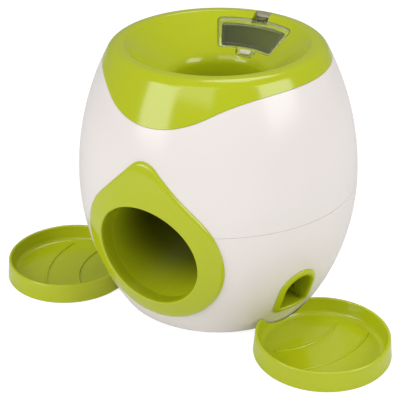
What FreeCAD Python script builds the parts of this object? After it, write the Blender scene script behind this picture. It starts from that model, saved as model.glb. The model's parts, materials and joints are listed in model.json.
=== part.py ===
"""Ball-operated treat dispenser for dogs.

A ball dropped in the bowl falls past a paddle wheel, turns the two dosing drums on the
wheel's shaft by a quarter turn and rolls out of the front.  The drums drop treats from the
hopper behind the bowl down two chutes, to a tray on each side.

Millimetres, +Z up.  The origin is on the floor under the middle of the body, the ball
leaves towards -Y and the hopper is at +Y.
"""
import FreeCAD, Part

import math
import os
import re

import Sketcher

V = FreeCAD.Vector

SIZES = {
    # egg-shaped body: two arcs that meet at the seam, and a rolled lip
    "belly_radius": 129.8,
    "seam_height": 121,
    "crest_height": 250,
    "crest_radius": 87.9,
    "base_radius": 93.93,
    "lip_round": 12.5,
    "lip_flat": 3.2,
    "lip_inner_round": 3,
    "wall": 2.4,
    "seam_gap": 0.3,
    "foot_gap": 1.5,
    "floor_thickness": 2.6,
    # bowl inside the lip, and the throat under it
    "bowl_slope": 40,
    "throat_round": 16,
    "throat_slope": 75,
    "throat_step": 0.4,
    "neck_radius": 43.5,
    "neck_length": 21.4,
    # wavy lower edge of the green skirt
    "skirt_top_drop": 13,
    "skirt_dip": 27.2,
    "skirt_gap": 0.25,
    "ledge_wall": 2.2,
    "ledge_drop": 9,
    # tongue that lines up the two housings
    "tongue_height": 5,
    "tongue_wall": 1.8,
    "tongue_root": 9,
    # leaf-shaped ring round the ball outlet
    "outlet_height": 91.2,
    "outlet_radius": 49.6,
    "ring_height": 91.2,
    "ring_radius": 69.5,
    "ring_tip_round": 19,
    "ring_flank": 46,
    "ring_proud": 3,
    "spigot_wall": 4,
    "spigot_depth": 22.6,
    "fit_gap": 0.4,
    "seat_gap": 0.1,
    # tunnel that the ball rolls out of, and the tube it falls through
    "tunnel_radius": 49.3,
    "tunnel_slope": 8,
    "tunnel_back": 43.5,
    "collar_rise": 2.4,
    "butt_gap": 0.3,
    "socket_gap": 0.2,
    "socket_height": 7,
    "socket_grip": 7,
    "saddle_front": 70,
    "saddle_back": 20,
    "saddle_width": 72,
    "saddle_height": 57,
    "saddle_wall": 3,
    # paddle wheel and dosing drums on one shaft
    "shaft_back": 66,
    "shaft_rise": 28.8,
    "shaft_radius": 3,
    "shaft_clearance": 0.05,
    "shaft_overhang": 3.5,
    "paddle_reach": 56,
    "paddle_width": 29,
    "paddle_thickness": 3,
    "hub_radius": 9,
    "hub_width": 33,
    "wheel_clearance": 2,
    "drum_radius": 19,
    "drum_gap": 0.5,
    "drum_middle": 61,
    "drum_width": 21.4,
    "drum_end_gap": 0.3,
    "dose_radius": 8,
    "dose_offset": 15,
    "clip_radius": 5.5,
    "clip_thickness": 1.4,
    # hopper behind the bowl
    "hopper_wall": 2,
    "hopper_fall": 67,
    "hopper_half_width": 76,
    "hopper_front": 50,
    "hopper_shell_gap": 8.5,
    "hopper_ridge": 12,
    "leg_grip": 4,
    "spout_half_width": 9,
    "spout_depth": 8,
    "spout_wall": 1.6,
    "ear_width": 9,
    "ear_thickness": 3,
    "ear_rise": 10,
    "ear_side": 36,
    "ear_back": 46,
    "ear_boss_radius": 3.6,
    # clear lid in the back wall of the bowl
    "lid_sweep": 59.5,
    "lid_start": 6.6,
    "lid_end": 38.5,
    "lid_thickness": 2.1,
    "lid_bevel": 1.6,
    "window_sweep": 50.6,
    "window_start": 13.8,
    "window_end": 36.3,
    "window_sink": 1.4,
    "window_thickness": 1.5,
    "pan_wall": 1.4,
    "pan_sweep_wall": 2.4,
    "tab_sweep": 20.5,
    "tab_end": 45.6,
    "lid_gap": 0.5,
    "lid_sweep_gap": 1.9,
    "scoop_radius": 30,
    "scoop_depth": 1.5,
    "scoop_middle": 43,
    "pin_offset": 0.1,
    "pin_drop": 3.7,
    "pin_radius": 1.2,
    "pin_clearance": 0.05,
    "pin_length": 25,
    "barrel_radius": 3.5,
    "barrel_width": 15.4,
    "strap_width": 10.4,
    "strap_thickness": 3.4,
    "strap_lap": 1.2,
    "notch_width": 16.4,
    "notch_depth": 9,
    "notch_gap": 0.8,
    "hinge_block_width": 27,
    "hinge_block_inset": 5.3,
    "hinge_block_depth": 11.5,
    # treat ports low in the sides
    "port_azimuth": 67.5,
    "port_half_width": 14.2,
    "port_arch_height": 50.1,
    "port_floor": 28.8,
    "bezel_half_width": 21.4,
    "bezel_arch_height": 50.8,
    "bezel_bottom": 21.4,
    "bezel_corner": 6,
    "bezel_proud": 1.2,
    "sleeve_depth": 12.2,
    "sleeve_wall": 2,
    # chutes from the drums to the ports
    "chute_inset": 25.9,
    "chute_half_width": 12,
    "chute_depth": 15,
    "chute_wall": 2,
    "chute_drop": 44,
    "chute_overrun": 19.5,
    "chute_arch_depth": 10,
    # trays
    "tray_stand_off": 47.18,
    "tray_base_radius": 62.7,
    "tray_rim_radius": 59.2,
    "tray_height": 18.6,
    "tray_rim_round": 1.5,
    "tray_wall": 1.8,
    "tray_floor": 2.8,
    "tray_inner_radius": 56.3,
    "tray_fillet": 5,
    "tray_body_gap": 1,
    "rib_width": 2.2,
    "rib_height": 1.3,
    "rib_reach": 46,
    "inner_rib_bend": 48,
    "inner_rib_crest": -5.8,
    "outer_rib_bend": 97,
    "outer_rib_crest": 21.4,
    "hook_width": 24,
    "hook_depth": 8.8,
    "hook_gap": 0.6,
    # screw posts, screws and feet
    "front_post_x": 64.3,
    "front_post_y": -54,
    "back_post_x": 24,
    "back_post_y": 80,
    "post_radius": 6.2,
    "post_bore": 4.2,
    "post_depth": 13,
    "boss_radius": 4.6,
    "boss_height": 30,
    "boss_rib": 2.2,
    "pilot_depth": 17,
    "screw_radius": 1.75,
    "screw_head_radius": 3.7,
    "screw_head_height": 2.4,
    "screw_clearance": 0.15,
    "thread_gap": 0.05,
    "foot_radius": 7,
    "foot_height": 2.4,
    "foot_circle": 77,
    "foot_azimuth": 35,
}

# Sizes that follow from the others.
FOLLOWING = {
    "upper_curve": "((belly_radius - lip_round - crest_radius)^2"
                   " + (crest_height - lip_round - seam_height)^2)"
                   " / (2 * (belly_radius - lip_round - crest_radius)) + lip_round",
    "lower_curve": "((belly_radius - base_radius)^2 + (seam_height - foot_gap)^2)"
                   " / (2 * (belly_radius - base_radius))",
    "skirt_height": "crest_height - skirt_top_drop",
    # the throat's edge, its steep part and the neck's lower end
    "steep_radius": "neck_radius + throat_step",
    "throat_radius": "steep_radius + throat_round * (sin(throat_slope) - sin(bowl_slope))",
    "throat_height": "crest_height - lip_inner_round * (1 - cos(bowl_slope))"
                     " - (crest_radius - lip_flat - lip_inner_round * sin(bowl_slope)"
                     " - throat_radius) * tan(bowl_slope)",
    "steep_height": "throat_height - throat_round * (cos(bowl_slope) - cos(throat_slope))",
    "neck_start": "steep_height - throat_step * tan(throat_slope)",
    "neck_height": "neck_start - neck_length",
    # tunnel: where it starts behind the ring, and its axis at the body's middle
    "tunnel_front": "belly_radius - lower_curve"
                    " + sqrt(lower_curve^2 - (outlet_height - seam_height)^2) - spigot_depth",
    "tunnel_middle": "outlet_height + tunnel_front * tan(tunnel_slope)",
    "collar_height": "tunnel_middle + tunnel_back * tan(tunnel_slope)"
                     " + (tunnel_radius + wall) / cos(tunnel_slope) + collar_rise",
    "shaft_height": "outlet_height + shaft_rise",
    "hopper_bottom": "crest_height - hopper_fall",
    "ear_height": "hopper_bottom + ear_rise",
    "pin_back": "crest_radius + pin_offset",
    "pin_height": "crest_height - pin_drop",
    "notch_floor": "crest_height - notch_depth",
    "hinge_block_front": "crest_radius - hinge_block_inset",
    "hinge_block_bottom": "crest_height - hinge_block_depth",
    # ports, chutes and trays keep their distance from the body's surface
    "port_sleeve": "belly_radius - lower_curve"
                   " + sqrt(lower_curve^2 - (port_arch_height - seam_height)^2) - sleeve_depth",
    "chute_turn": "port_sleeve + sleeve_depth - chute_inset",
    "chute_top_floor": "shaft_height - chute_drop",
    "tray_distance": "belly_radius - lower_curve"
                     " + sqrt(lower_curve^2 - (tray_height - seam_height)^2) + tray_stand_off",
    "hook_reach": "belly_radius - lower_curve"
                  " + sqrt(lower_curve^2 - (tray_floor - seam_height)^2) - hook_depth",
    "post_seat": "seam_height - post_depth",
}

doc = FreeCAD.newDocument("treat_dispenser")
sheet = doc.addObject("Spreadsheet::Sheet", "Sizes")
for row, (alias, size) in enumerate([*SIZES.items(), *FOLLOWING.items()], start=1):
    sheet.set("A%d" % row, alias)
    sheet.set("B%d" % row, str(size) if alias in SIZES else "=" + size)
    sheet.setAlias("B%d" % row, alias)
    doc.recompute()

ALIASES = re.compile(r"\b(%s)\b" % "|".join([*SIZES, *FOLLOWING]))
TURN_TO_Y = FreeCAD.Rotation(V(0, 1, 0), V(0, 0, 1), V(1, 0, 0), "ZXY")
UPRIGHT = FreeCAD.Rotation(V(1, 0, 0), 90)
ALONG_X = FreeCAD.Rotation(V(0, 1, 0), 90)
ALONG_Y = FreeCAD.Rotation(V(1, 0, 0), -90)
FAR = "(2 * belly_radius)"
SIDES = {"right": 1, "left": -1}


# ---------------------------------------------------------------- sheet and sketches

def number(formula):
    """What a formula of the sheet's sizes comes to."""
    return float(sheet.evalExpression(str(formula)))


def bind(thing, field, formula):
    """Ties one size of an object to the sheet."""
    thing.setExpression(field, ALIASES.sub(r"Sizes.\1", str(formula)))


def put(thing, x="0", y="0", z="0", rotation=None):
    """Places an object, with its position tied to the sheet."""
    place = V(number(x), number(y), number(z))
    thing.Placement = FreeCAD.Placement(place, rotation or FreeCAD.Rotation())
    for field, formula in (("x", x), ("y", y), ("z", z)):
        if str(formula) != "0":
            bind(thing, "Placement.Base." + field, formula)
    return thing


def edge_between(start, end, bend):
    """A line, or an arc of the signed radius bend: positive turns left along the way."""
    first, last = V(*start, 0), V(*end, 0)
    if not bend:
        return Part.LineSegment(first, last), 1, 2
    chord = last - first
    rise = math.sqrt(max(bend * bend - chord.Length ** 2 / 4, 0))
    side = V(-chord.y, chord.x, 0).normalize() * math.copysign(rise, bend)
    centre = (first + last) / 2 + side
    angles = [math.atan2(point.y - centre.y, point.x - centre.x) for point in (first, last)]
    if bend < 0:
        angles.reverse()
    if angles[1] <= angles[0]:
        angles[1] += 2 * math.pi
    arc = Part.ArcOfCircle(Part.Circle(centre, V(0, 0, 1), abs(bend)), *angles)
    return (arc, 1, 2) if bend > 0 else (arc, 2, 1)


def draw(sketch, vertices, closed=True):
    """Edges through the vertices (x, y) or (x, y, bend of the edge that arrives there)."""
    spots = [(number(vertex[0]), number(vertex[1])) for vertex in vertices]
    bends = [vertex[2] if len(vertex) > 2 else None for vertex in vertices]
    count = len(vertices)
    ends = []
    for index in range(count if closed else count - 1):
        after = (index + 1) % count
        bend = number(bends[after]) if bends[after] else 0
        shape, first, last = edge_between(spots[index], spots[after], bend)
        geometry = sketch.addGeometry(shape)
        ends.append((geometry, first, last))
        if bend:
            radius = sketch.addConstraint(Sketcher.Constraint("Radius", geometry, abs(bend)))
            bind(sketch, "Constraints[%d]" % radius, "abs(%s)" % bends[after])
    for index, (geometry, first, last) in enumerate(ends):
        if closed or index + 1 < len(ends):
            following = ends[(index + 1) % len(ends)]
            sketch.addConstraint(Sketcher.Constraint(
                "Coincident", geometry, last, following[0], following[1]))
    for index, vertex in enumerate(vertices):
        if index < len(ends):
            geometry, corner = ends[index][0], ends[index][1]
        else:
            geometry, corner = ends[-1][0], ends[-1][2]
        for kind, value, formula in zip(("DistanceX", "DistanceY"), spots[index], vertex):
            spot = sketch.addConstraint(
                Sketcher.Constraint(kind, -1, 1, geometry, corner, value))
            bind(sketch, "Constraints[%d]" % spot, formula)
    return sketch


def outline(vertices, closed=True, rotation=UPRIGHT, at=("0", "0", "0")):
    """A free sketch, standing upright unless it is turned."""
    sketch = doc.addObject("Sketcher::SketchObject", "outline")
    put(sketch, *at, rotation=rotation)
    return draw(sketch, vertices, closed)


def rectangle(left, bottom, right, top):
    return [(left, bottom), (right, bottom), (right, top), (left, top)]


# ---------------------------------------------------------------- solids

def body(name):
    """An empty PartDesign body."""
    return doc.addObject("PartDesign::Body", name)


def plane_sketch(holder, role, vertices):
    """A sketch on one of the body's own origin planes."""
    sketch = holder.newObject("Sketcher::SketchObject", "profile")
    plane = [item for item in holder.Origin.OriginFeatures if item.Role == role][0]
    sketch.AttachmentSupport = (plane, [""])
    sketch.MapMode = "FlatFace"
    return draw(sketch, vertices)


def turned_body(name, vertices):
    """A body turned about its own Z axis from an upright profile."""
    holder = body(name)
    sketch = plane_sketch(holder, "XZ_Plane", vertices)
    turn = holder.newObject("PartDesign::Revolution", "turn")
    turn.Profile = sketch
    turn.ReferenceAxis = (sketch, ["V_Axis"])
    turn.Angle = 360
    return holder


def circle_sketch(holder, role, radius, x="0", y="0"):
    """A circle on one of the body's origin planes."""
    sketch = holder.newObject("Sketcher::SketchObject", "circle")
    plane = [item for item in holder.Origin.OriginFeatures if item.Role == role][0]
    sketch.AttachmentSupport = (plane, [""])
    sketch.MapMode = "FlatFace"
    ring = Part.Circle(V(number(x), number(y), 0), V(0, 0, 1), number(radius))
    sketch.addGeometry(ring)
    bind(sketch, "Constraints[%d]" % sketch.addConstraint(
        Sketcher.Constraint("Radius", 0, number(radius))), radius)
    for kind, formula in (("DistanceX", x), ("DistanceY", y)):
        spot = sketch.addConstraint(
            Sketcher.Constraint(kind, -1, 1, 0, 3, number(formula)))
        bind(sketch, "Constraints[%d]" % spot, formula)
    return sketch


def pad(holder, sketch, length, both_ways=True):
    """Thickens a sketch of a body."""
    feature = holder.newObject("PartDesign::Pad", "pad")
    feature.Profile = sketch
    bind(feature, "Length", length)
    feature.Midplane = both_ways
    return feature


def pocket(holder, sketch, length):
    """Cuts a sketch out of a body, both ways from its plane."""
    feature = holder.newObject("PartDesign::Pocket", "pocket")
    feature.Profile = sketch
    bind(feature, "Length", length)
    feature.Midplane = True
    return feature


def around(holder, features, axis_role, copies):
    """Repeats features of a body round one of its axes."""
    doc.recompute()
    pattern = holder.newObject("PartDesign::PolarPattern", "pattern")
    pattern.Originals = features
    axis = [item for item in holder.Origin.OriginFeatures if item.Role == axis_role][0]
    pattern.Axis = (axis, [""])
    pattern.Angle = 360
    pattern.Occurrences = copies
    holder.Tip = pattern
    return holder


def cylinder(radius, height, at=("0", "0", "0"), rotation=None):
    thing = doc.addObject("Part::Cylinder", "cylinder")
    bind(thing, "Radius", radius)
    bind(thing, "Height", height)
    return put(thing, *at, rotation=rotation)


def ball(radius, at):
    thing = doc.addObject("Part::Sphere", "ball")
    bind(thing, "Radius", radius)
    return put(thing, *at)


def block(low, high):
    """A box between two corners."""
    thing = doc.addObject("Part::Box", "block")
    for field, start, end in zip(("Length", "Width", "Height"), low, high):
        bind(thing, field, "(%s) - (%s)" % (end, start))
    return put(thing, *low)


def extruded(sketch, direction, ahead, behind="0"):
    """A sketch pushed along a direction, ahead and behind its plane."""
    thing = doc.addObject("Part::Extrusion", "extrusion")
    thing.Base = sketch
    thing.DirMode = "Custom"
    thing.Dir = direction
    bind(thing, "LengthFwd", ahead)
    bind(thing, "LengthRev", behind)
    thing.Solid = True
    return thing


def revolved(source, sweep="360"):
    """A profile turned about the body's axis, evenly to both sides of its plane."""
    thing = doc.addObject("Part::Revolution", "revolution")
    thing.Source = source
    thing.Axis = V(0, 0, 1)
    bind(thing, "Angle", sweep)
    thing.Symmetric = True
    thing.Solid = True
    return thing


def ribbon(path, thickness):
    """A wall of one thickness on the inner side of an open path."""
    thing = doc.addObject("Part::Offset2D", "ribbon")
    thing.Source = path
    bind(thing, "Value", thickness)
    thing.Mode = "Skin"
    thing.Join = "Intersection"
    thing.Fill = True
    return thing


def cut(base, *tools):
    thing = doc.addObject("Part::Cut", "cut")
    thing.Base = base
    thing.Tool = tools[0] if len(tools) == 1 else fuse(*tools)
    return thing


def fuse(*things):
    thing = doc.addObject("Part::MultiFuse", "fusion")
    thing.Shapes = list(things)
    return thing


def common(*things):
    thing = doc.addObject("Part::MultiCommon", "overlap")
    thing.Shapes = list(things)
    return thing


# ---------------------------------------------------------------- the egg's surface

def surface_radius(height, inset="0"):
    """Radius of the outside at a height above the seam, less an inset."""
    return ("(belly_radius - upper_curve + sqrt((upper_curve - (%s))^2"
            " - ((%s) - seam_height)^2))" % (inset, height))


def lower_surface_radius(height, inset="0"):
    """Radius of the outside at a height below the seam, less an inset."""
    return ("(belly_radius - lower_curve + sqrt((lower_curve - (%s))^2"
            " - ((%s) - seam_height)^2))" % (inset, height))


LIP_SHARE = "(upper_curve / (upper_curve - lip_round))"
SHOULDER = ("(belly_radius - upper_curve + (crest_radius - belly_radius + upper_curve) * %s)"
            % LIP_SHARE,
            "(seam_height + (crest_height - lip_round - seam_height) * %s)" % LIP_SHARE)
BOWL_TOP = ("(crest_radius - lip_flat - lip_inner_round * sin(bowl_slope))",
            "(crest_height - lip_inner_round * (1 - cos(bowl_slope)))")
LIP = [SHOULDER + ("upper_curve",),
       ("crest_radius", "crest_height", "lip_round"),
       ("crest_radius - lip_flat", "crest_height"),
       BOWL_TOP + ("lip_inner_round",)]


def bowl_point(down, depth="0"):
    """A point down the bowl's wall from its top, and a depth behind its face."""
    return ("(%s - (%s) * cos(bowl_slope) + (%s) * sin(bowl_slope))"
            % (BOWL_TOP[0], down, depth),
            "(%s - (%s) * sin(bowl_slope) - (%s) * cos(bowl_slope))"
            % (BOWL_TOP[1], down, depth))


def egg(inset, bottom, top):
    """The filled egg, shrunk by an inset, between two heights."""
    profile = [("0", bottom), (lower_surface_radius(bottom, inset), bottom)]
    if number(top) > number("seam_height"):
        profile.append(("belly_radius - (%s)" % inset, "seam_height",
                        "lower_curve - (%s)" % inset))
        profile.append((surface_radius(top, inset), top, "upper_curve - (%s)" % inset))
    else:
        profile.append((lower_surface_radius(top, inset), top, "lower_curve - (%s)" % inset))
    return revolved(outline(profile + [("0", top)]))


def upper_shell(inset, thickness, bottom, top):
    """A wall of the egg above the seam."""
    path = outline([
        (surface_radius(bottom, inset), bottom),
        (surface_radius(top, inset), top, "upper_curve - (%s)" % inset)], closed=False)
    return revolved(ribbon(path, thickness))


def bowl_sector(sweep, start, end, upper, lower, bevel="0"):
    """A piece of the bowl's back wall: an arc of it, between two distances down the wall
    and two depths behind its face.  A bevel leans its top edge down the wall."""
    profile = outline([
        bowl_point(start, upper), bowl_point(end, upper), bowl_point(end, lower),
        bowl_point("%s + (%s)" % (start, bevel), lower)], rotation=TURN_TO_Y)
    return revolved(profile, sweep)


# ---------------------------------------------------------------- wave of the skirt

def wave_band(shift, above):
    """All that lies above, or below, the skirt's wavy edge: dipped in front, level behind."""
    level = "(skirt_height - (%s))" % shift
    reach = "(%s - 1.5)" % surface_radius("skirt_height")
    bend = "((%s^2 + skirt_dip^2) / (4 * skirt_dip))" % reach
    middle = "(%s - skirt_dip / 2)" % level
    limit = "(crest_height + wall)" if above else "seam_height"
    front = outline([
        ("-%s" % FAR, level),
        ("-%s" % reach, level),
        ("-%s / 2" % reach, middle, "-%s" % bend),
        ("%s / 2" % reach, middle, bend),
        (reach, level, "-%s" % bend),
        (FAR, level),
        (FAR, limit),
        ("-%s" % FAR, limit)])
    ahead = extruded(front, V(0, -1, 0), FAR)
    low, high = (level, limit) if above else (limit, level)
    behind = block(("-%s" % FAR, "0", low), (FAR, FAR, high))
    return fuse(ahead, behind)


# ---------------------------------------------------------------- outlet and tunnel

def outlet_cylinder(radius, back):
    """A cylinder along Y through the ball outlet, from the front as far back as y = back."""
    return cylinder(radius, "%s + (%s)" % (FAR, back), ("0", "-%s" % FAR, "outlet_height"),
                    ALONG_Y)


def tunnel_cylinder(radius, front, back):
    """A piece of the sloping tunnel, cut square to Y at both ends."""
    tilt = FreeCAD.Rotation(V(1, 0, 0), number("tunnel_slope") - 90)
    start = ("0", "-%s" % FAR, "tunnel_middle - %s * tan(tunnel_slope)" % FAR)
    rod = cylinder(radius, "2 * %s" % FAR, start, tilt)
    return common(rod, block(("-%s" % FAR, front, "0"), (FAR, back, "crest_height")))


def wheel_slot():
    """The room that the paddles sweep through in the tube and the tunnel."""
    half = "paddle_width / 2 + wheel_clearance"
    return block(("-(%s)" % half, "shaft_back - paddle_reach - 1.5 * wheel_clearance",
                  "shaft_height - paddle_reach - wheel_clearance"),
                 (half, "belly_radius", "shaft_height + paddle_reach + wheel_clearance"))


def leaf():
    """Outline of the front ring: a circle with two straight flanks up to a rounded tip."""
    tip = "(ring_height + (ring_radius - ring_tip_round) / sin(ring_flank))"
    flank = ("(ring_radius * cos(ring_flank))", "(ring_height + ring_radius * sin(ring_flank))")
    brow = ("(ring_tip_round * cos(ring_flank))", "(%s + ring_tip_round * sin(ring_flank))" % tip)
    return outline([
        ("0", "ring_height - ring_radius", "ring_radius"),
        ("ring_radius", "ring_height", "ring_radius"),
        flank + ("ring_radius",),
        brow,
        ("0", "%s + ring_tip_round" % tip, "ring_tip_round"),
        ("-" + brow[0], brow[1], "ring_tip_round"),
        ("-" + flank[0], flank[1]),
        ("-ring_radius", "ring_height", "ring_radius")])


def front_ring():
    """Leaf-shaped ring on the outside of both housings, with a spigot into their hole."""
    low, high = "foot_gap", "skirt_height - skirt_dip"
    plate = cut(extruded(leaf(), V(0, -1, 0), FAR), egg("-seat_gap", low, high))
    spigot = outlet_cylinder("outlet_radius + spigot_wall", "-tunnel_front")
    proud = common(egg("-ring_proud", low, high), fuse(plate, spigot))
    return cut(proud, outlet_cylinder("outlet_radius", "0"))


def ball_tunnel(side):
    """One half of the sloping tunnel, with its share of the open slot for the paddles and
    of the collar under the tube."""
    middle = ("0", "0", "tunnel_middle")
    outside = fuse(
        tunnel_cylinder("tunnel_radius + wall", "-tunnel_front + butt_gap", "tunnel_back"),
        cylinder("neck_radius + wall", "collar_height - tunnel_middle", middle))
    inside = fuse(
        tunnel_cylinder("tunnel_radius", "-tunnel_front - wall", "tunnel_back - wall"),
        cylinder("neck_radius", "crest_height - tunnel_middle", middle))
    left, right = across(side, "seat_gap / 2", "belly_radius")
    half = block((left, "-belly_radius", "0"), (right, "belly_radius", "crest_height"))
    return common(cut(outside, inside, wheel_slot()), half)


def drop_tube():
    """Tube from the bowl's neck down to the tunnel, slotted for the paddles."""
    bottom = "(collar_height + butt_gap)"
    top = "(neck_height - butt_gap)"
    outer = "(neck_radius + wall)"
    tube = turned_body("drop_tube_wall", [
        ("neck_radius", bottom), (outer, bottom),
        (outer, "%s - socket_grip" % top),
        ("%s + socket_gap + wall" % outer, "%s - socket_grip" % top),
        ("%s + socket_gap + wall" % outer, "neck_height + socket_height"),
        ("%s + socket_gap" % outer, "neck_height + socket_height"),
        ("%s + socket_gap" % outer, top),
        ("neck_radius", top)])
    return cut(tube, wheel_slot())


# ---------------------------------------------------------------- bowl, hopper and lid

def hopper_depth(extra="0"):
    """Depth of the hopper's roof behind the bowl's face."""
    return "(wall + seat_gap + (%s))" % extra


def under_bowl(depth, roof, bottom):
    """The space under the bowl's wall, capped by a level roof behind it."""
    start = "neck_radius"
    crown = "((%s - (%s) * cos(bowl_slope) - (%s)) / sin(bowl_slope))" % (
        BOWL_TOP[1], depth, roof)
    foot = "((%s + (%s) * sin(bowl_slope) - (%s)) / cos(bowl_slope))" % (
        BOWL_TOP[0], depth, start)
    return revolved(outline([
        (start, bottom), (FAR, bottom), (FAR, roof),
        bowl_point(crown, depth), bowl_point(foot, depth)]))


def lip_solid(bottom):
    """The lip filled in, down to a level."""
    return revolved(outline([
        (BOWL_TOP[0], bottom), (surface_radius(bottom), bottom), *LIP]))


def hinge_cylinder(radius, width):
    """A cylinder along the lid's hinge line, in the middle."""
    return cylinder(radius, width, ("-(%s) / 2" % width, "pin_back", "pin_height"), ALONG_X)


def top_bowl():
    """Bowl, rolled lip and outer skirt in one moulding, with the lid's opening and hinge and
    a shallow scoop for a finger under the lid's tab."""
    start = "(skirt_height - skirt_dip - 2 * wall)"
    path = outline([
        (surface_radius(start), start),
        *LIP,
        ("throat_radius", "throat_height"),
        ("steep_radius", "steep_height", "throat_round"),
        ("neck_radius", "neck_start"),
        ("neck_radius", "neck_height")], closed=False)
    shell = revolved(ribbon(path, "wall"))
    trim = cut(wave_band("0", above=False), cylinder(
        "%s - 3 * wall" % surface_radius("skirt_height"), "crest_height"))
    hinge_block = common(
        block(("-hinge_block_width / 2", "hinge_block_front", "hinge_block_bottom"),
              ("hinge_block_width / 2", "belly_radius", "crest_height")),
        lip_solid("hinge_block_bottom"))
    bosses = [common(
        cylinder("ear_boss_radius", "crest_height - ear_height",
                 ("%d * ear_side" % side, "ear_back", "ear_height + ear_thickness")),
        under_bowl("wall / 2", "skirt_height", "ear_height")) for side in SIDES.values()]
    pilots = [cylinder("screw_radius + thread_gap", "pilot_depth",
                       ("%d * ear_side" % side, "ear_back", "ear_height"))
              for side in SIDES.values()]
    opening = bowl_sector("lid_sweep + lid_sweep_gap", "lid_start - lid_gap",
                          "lid_end + lid_gap", "-wall", "2 * wall")
    tab_opening = bowl_sector("tab_sweep + lid_sweep_gap", "lid_end - lid_gap",
                              "tab_end + lid_gap", "-wall", "2 * wall")
    scoop = ball("scoop_radius",
                 ("0", *bowl_point("scoop_middle", "scoop_depth - scoop_radius")))
    notch = block(("-notch_width / 2", "%s - 3 * wall" % BOWL_TOP[0], "notch_floor"),
                  ("notch_width / 2", "pin_back + barrel_radius + notch_gap",
                   "crest_height + wall"))
    bores = hinge_cylinder("pin_radius + pin_clearance", "(pin_length + 2 * pin_clearance)")
    solid = fuse(cut(shell, trim), hinge_block, *bosses)
    return cut(solid, opening, tab_opening, scoop, notch, bores, *pilots)


def hopper_lid():
    """Clear lid that follows the bowl's wall: a sunk window, a finger tab and a hinge barrel."""
    flange = bowl_sector("lid_sweep", "lid_start", "lid_end", "0", "lid_thickness",
                         "lid_bevel")
    tab = bowl_sector("tab_sweep", "lid_end - lid_gap", "tab_end", "0", "lid_thickness")
    pan = bowl_sector("window_sweep + pan_sweep_wall", "window_start - pan_wall",
                      "window_end + pan_wall", "lid_thickness / 2",
                      "window_sink + window_thickness")
    well = bowl_sector("window_sweep", "window_start", "window_end", "-wall", "window_sink")
    strap = block(("-strap_width / 2", "%s - strap_lap" % bowl_point("lid_start")[0],
                   "pin_height - strap_thickness"),
                  ("strap_width / 2", "pin_back", "pin_height"))
    barrel = hinge_cylinder("barrel_radius", "barrel_width")
    return cut(fuse(flange, tab, pan, strap, barrel), well,
               hinge_cylinder("pin_radius", "pin_length"))


DRUM_ROOM = "(drum_radius + drum_gap)"
LEG_INSIDE = "(drum_width / 2 + drum_end_gap)"
LEG_OUTSIDE = "(%s + hopper_wall)" % LEG_INSIDE
CASING = "(%s + hopper_wall)" % DRUM_ROOM


def across(side, low, high):
    """The same distances from the middle plane on the right or the left."""
    return (low, high) if side > 0 else ("-(%s)" % high, "-(%s)" % low)


def leg_box(side, half, room, bottom, top):
    """An upright box round the shaft's line on one side."""
    left, right = across(side, "drum_middle - (%s)" % half, "drum_middle + (%s)" % half)
    return block((left, "shaft_back - (%s)" % room, bottom),
                 (right, "shaft_back + (%s)" % room, top))


def treat_hopper():
    """Bin behind the bowl with a socket under it for each drum case, and two screw ears."""
    roof = "(hinge_block_bottom - fit_gap)"

    def bin_solid(inset, lift, cover):
        half = "(hopper_half_width - %s)" % inset
        bottom = "(hopper_bottom + %s)" % inset
        return common(
            block(("-" + half, "hopper_front + %s" % inset, bottom),
                  (half, "belly_radius", "crest_height")),
            under_bowl(hopper_depth(cover), "%s - %s" % (roof, lift), "hopper_bottom - wall"),
            egg("hopper_shell_gap + %s" % inset, "seam_height - wall", "skirt_height + wall"))

    window = bowl_sector("window_sweep + pan_sweep_wall + lid_sweep_gap",
                         "window_start - pan_wall - lid_gap",
                         "window_end + pan_wall + lid_gap", "0", "wall + 3 * hopper_wall")
    floor_top = "hopper_bottom + hopper_wall"
    solids = [bin_solid("0", "0", "0")]
    hollows = [bin_solid("hopper_wall", "hopper_wall", "hopper_wall")]
    mouths = []
    for side in SIDES.values():
        solids.append(leg_box(side, LEG_OUTSIDE + " + socket_gap + hopper_wall",
                              CASING + " + socket_gap + hopper_wall",
                              "hopper_bottom - leg_grip", floor_top))
        hollows.append(leg_box(side, LEG_OUTSIDE + " + socket_gap", CASING + " + socket_gap",
                               "hopper_bottom - 2 * leg_grip", "hopper_bottom"))
        mouths.append(leg_box(side, LEG_INSIDE, DRUM_ROOM, "hopper_bottom - leg_grip",
                              floor_top + " + hopper_wall"))
        left, right = across(side, "ear_side - ear_width / 2", "ear_side + ear_width / 2")
        solids.append(block((left, "ear_back - ear_width / 2", "ear_height"),
                            (right, "hopper_front + hopper_wall / 2",
                             "ear_height + ear_thickness")))
        hollows.append(cylinder("screw_radius + screw_clearance", "2 * ear_thickness", (
            "%d * ear_side" % side, "ear_back", "ear_height - ear_thickness / 2")))
    mouths = common(fuse(*mouths),
                    block(("-" + FAR, "hopper_front + hopper_wall", "0"),
                          (FAR, FAR, "crest_height")),
                    egg("hopper_shell_gap + hopper_wall", "seam_height - wall", "skirt_height"))
    ridge = outline([
        ("-(drum_middle - %s)" % LEG_INSIDE, "hopper_bottom + hopper_wall / 2"),
        ("drum_middle - %s" % LEG_INSIDE, "hopper_bottom + hopper_wall / 2"),
        ("0", "hopper_bottom + hopper_wall + hopper_ridge")])
    ridge = common(extruded(ridge, V(0, 1, 0), FAR), bin_solid("0", "0", "0"))
    return fuse(cut(fuse(*solids), window, mouths, *hollows), ridge)


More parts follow.
